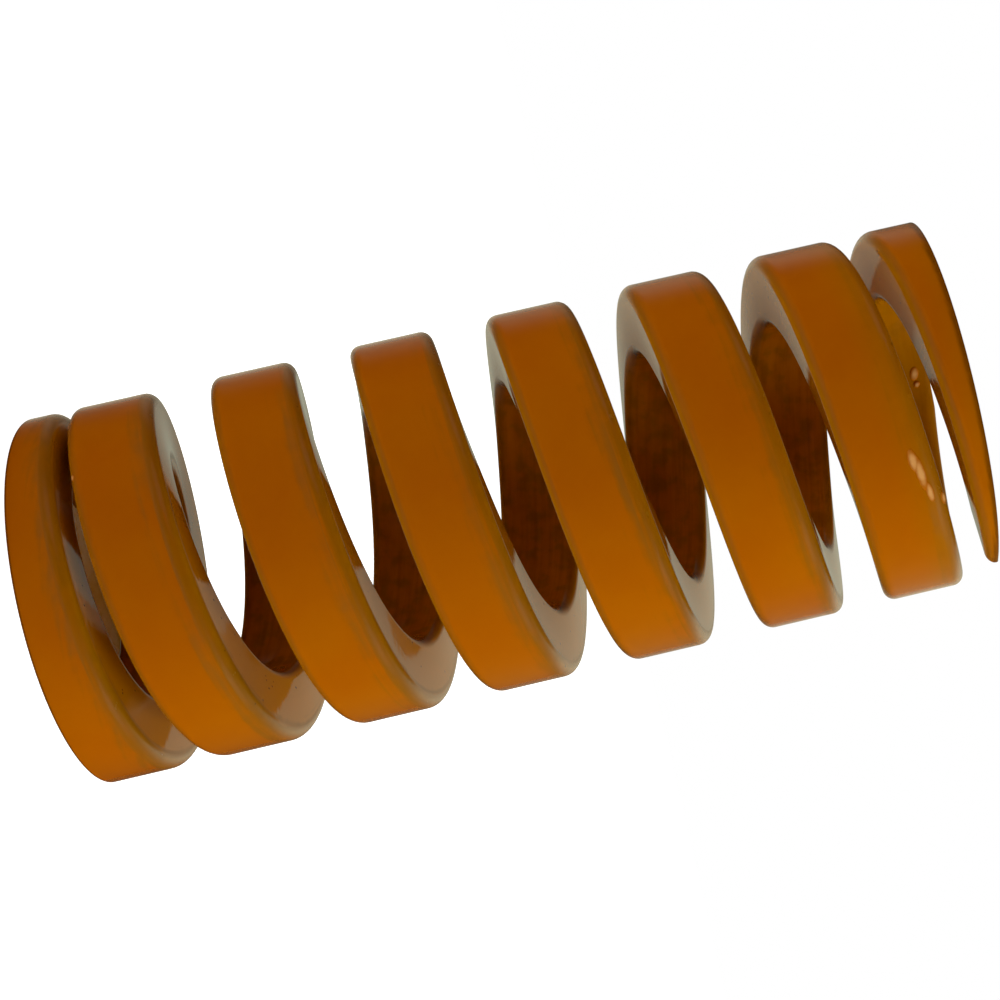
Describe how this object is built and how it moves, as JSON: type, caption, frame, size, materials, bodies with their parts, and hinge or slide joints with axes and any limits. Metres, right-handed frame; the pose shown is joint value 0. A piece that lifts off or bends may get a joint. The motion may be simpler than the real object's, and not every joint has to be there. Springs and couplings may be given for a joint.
{
  "type": "die spring",
  "caption": "Heavy compression spring of painted rectangular wire, coiled right-handed, with closed and ground ends that seat square to its axis.",
  "frame": {"origin": "centre of the lower ground seat, on the spring's axis", "axes": "+Z along the spring's axis, from the lower seat to the upper one; the wire climbs right-handed about it"},
  "size_m": [0.0626, 0.0626, 0.152],
  "materials": {
    "painted_steel": "gloss orange-brown enamel over the whole wire"
  },
  "bodies": {
    "root": {"spring": "painted_steel"}
  },
  "joints": []
}
